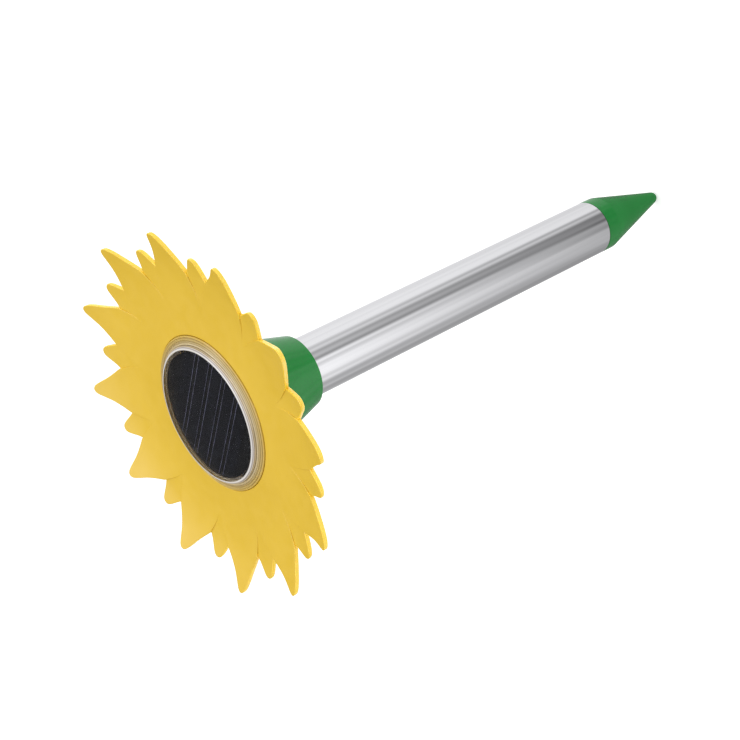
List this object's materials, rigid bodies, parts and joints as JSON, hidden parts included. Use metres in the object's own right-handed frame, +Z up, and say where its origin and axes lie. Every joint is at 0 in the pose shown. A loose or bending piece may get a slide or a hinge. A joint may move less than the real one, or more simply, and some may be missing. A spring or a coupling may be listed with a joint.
{
  "type": "ultrasonic pest repeller",
  "caption": "Solar garden stake that drives burrowing pests away: a dished sunflower head with a round clear-covered panel on a tube with a pointed foot.",
  "frame": {"origin": "tip of the spike, on the axis of the tube", "axes": "+Z up along the tube, from the spike to the flower; +X towards the middle of a long petal, with the push button on the +Y side"},
  "size_m": [0.1944, 0.1944, 0.353],
  "materials": {
    "yellow_plastic": "semi-gloss moulded",
    "green_plastic": "glossy moulded",
    "tube_aluminium": "drawn, finely brushed lengthwise",
    "clear_plastic": "clear, polished",
    "black_rubber": "matte",
    "clear_silicone": "satin",
    "foam": "matte foam",
    "panel_black": "epoxy coated board",
    "solar_cell": "dark amorphous cell",
    "black_plastic": "matte",
    "white_plastic": "satin",
    "cell_sleeve": "shrunk plastic sleeve",
    "bright_steel": "nickel plated",
    "circuit_board": "solder mask",
    "capacitor_sleeve": "shrunk plastic sleeve",
    "copper_wire": "enamelled copper",
    "magnet": "matte sintered",
    "red_wire": "wire insulation",
    "black_wire": "wire insulation"
  },
  "bodies": {
    "stake": {"spike": "green_plastic", "spike_oring": "black_rubber"},
    "barrel": {"tube": "tube_aluminium"},
    "head": {"petal_disc": "yellow_plastic", "lens": "clear_plastic", "lens_seal": "clear_silicone", "panel_pad": "foam", "panel_board": "panel_black", "solar_cell_1": "solar_cell", "solar_cell_2": "solar_cell", "solar_cell_3": "solar_cell", "solar_cell_4": "solar_cell", "solar_cell_5": "solar_cell", "rear_cup": "green_plastic", "cup_oring": "black_rubber", "head_screw_1": "bright_steel", "head_screw_2": "bright_steel", "head_screw_3": "bright_steel", "head_screw_4": "bright_steel", "switch_body": "black_plastic", "carrier": "white_plastic", "carrier_screw_1": "bright_steel", "carrier_screw_2": "bright_steel", "battery_cell": "cell_sleeve", "battery_cap": "bright_steel", "battery_contact": "bright_steel", "battery_spring": "bright_steel", "circuit_board": "circuit_board", "timer_chip": "black_plastic", "capacitor": "capacitor_sleeve", "inductor": "copper_wire", "transistor": "black_plastic", "sounder_case": "black_plastic", "sounder_magnet": "magnet", "sounder_core": "bright_steel", "sounder_coil": "copper_wire", "sounder_cover": "black_plastic", "panel_lead_red": "red_wire", "panel_lead_black": "black_wire", "sounder_lead_red": "red_wire", "sounder_lead_black": "black_wire", "switch_lead_red": "red_wire", "switch_lead_black": "black_wire"},
    "button": {"switch_button": "black_rubber"},
    "sounder_cone": {"diaphragm": "bright_steel"}
  },
  "joints": [
    {"name": "tube_lift", "type": "slide", "parent": "stake", "child": "barrel", "axis": [0, 0, 1], "range_m": [0, 0.03]},
    {"name": "head_lift", "type": "slide", "parent": "barrel", "child": "head", "axis": [0, 0, 1], "range_m": [0, 0.145]},
    {"name": "switch_press", "type": "slide", "parent": "head", "child": "button", "axis": [0, -1, 0], "range_m": [0, 0.0012], "stiffness_N_per_m": 400},
    {"name": "diaphragm_drive", "type": "slide", "parent": "head", "child": "sounder_cone", "axis": [0, 0, 1], "range_m": [-0.0004, 0.0004], "stiffness_N_per_m": 500}
  ]
}
